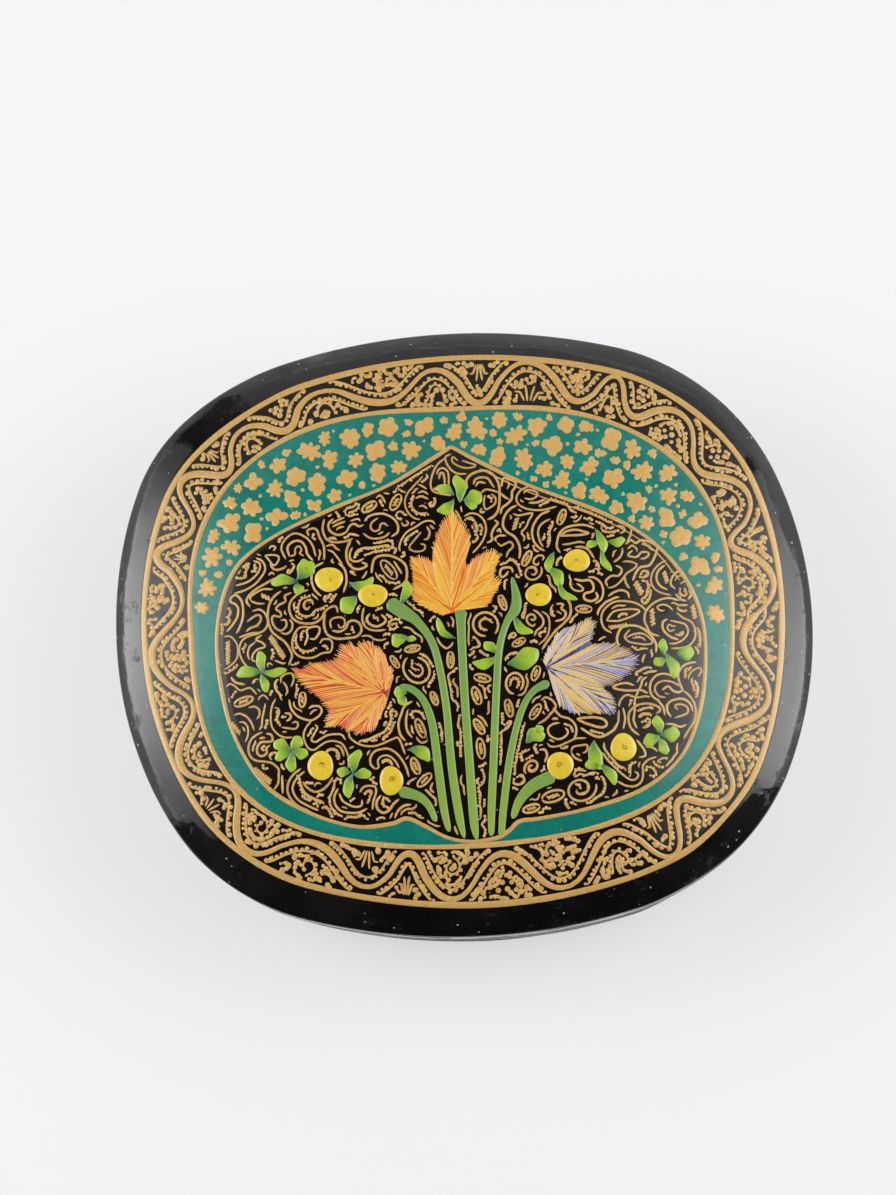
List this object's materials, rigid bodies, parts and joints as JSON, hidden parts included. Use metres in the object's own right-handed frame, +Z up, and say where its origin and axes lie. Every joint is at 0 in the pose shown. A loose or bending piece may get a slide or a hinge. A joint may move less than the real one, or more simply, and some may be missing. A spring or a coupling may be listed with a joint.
{
  "type": "papier mache box",
  "caption": "Cushion-shaped lacquered papier mache box with a bevelled lift-off lid that slips over a collar in the base.",
  "frame": {"origin": "centre of the underside, on the surface the box stands on", "axes": "+Z up, the way the lid lifts; +X to the right along the longer side; +Y to the back, the top edge of the painted panel"},
  "size_m": [0.1, 0.0878, 0.0361],
  "materials": {
    "base_lacquer": "gloss",
    "lid_lacquer": "gloss",
    "inner_lacquer": "satin",
    "gold_paint": "satin",
    "teal_paint": "gloss",
    "green_paint": "gloss",
    "yellow_paint": "gloss",
    "leaf_paint": "gloss"
  },
  "bodies": {
    "base": {"floor_board": "base_lacquer", "base_wall": "base_lacquer", "inner_collar": "inner_lacquer"},
    "lid": {"lid_wall": "lid_lacquer", "lid_board": "lid_lacquer"}
  },
  "joints": [
    {"name": "lid_lift", "type": "slide", "parent": "base", "child": "lid", "axis": [0, 0, 1], "range_m": [0, 0.05]}
  ]
}
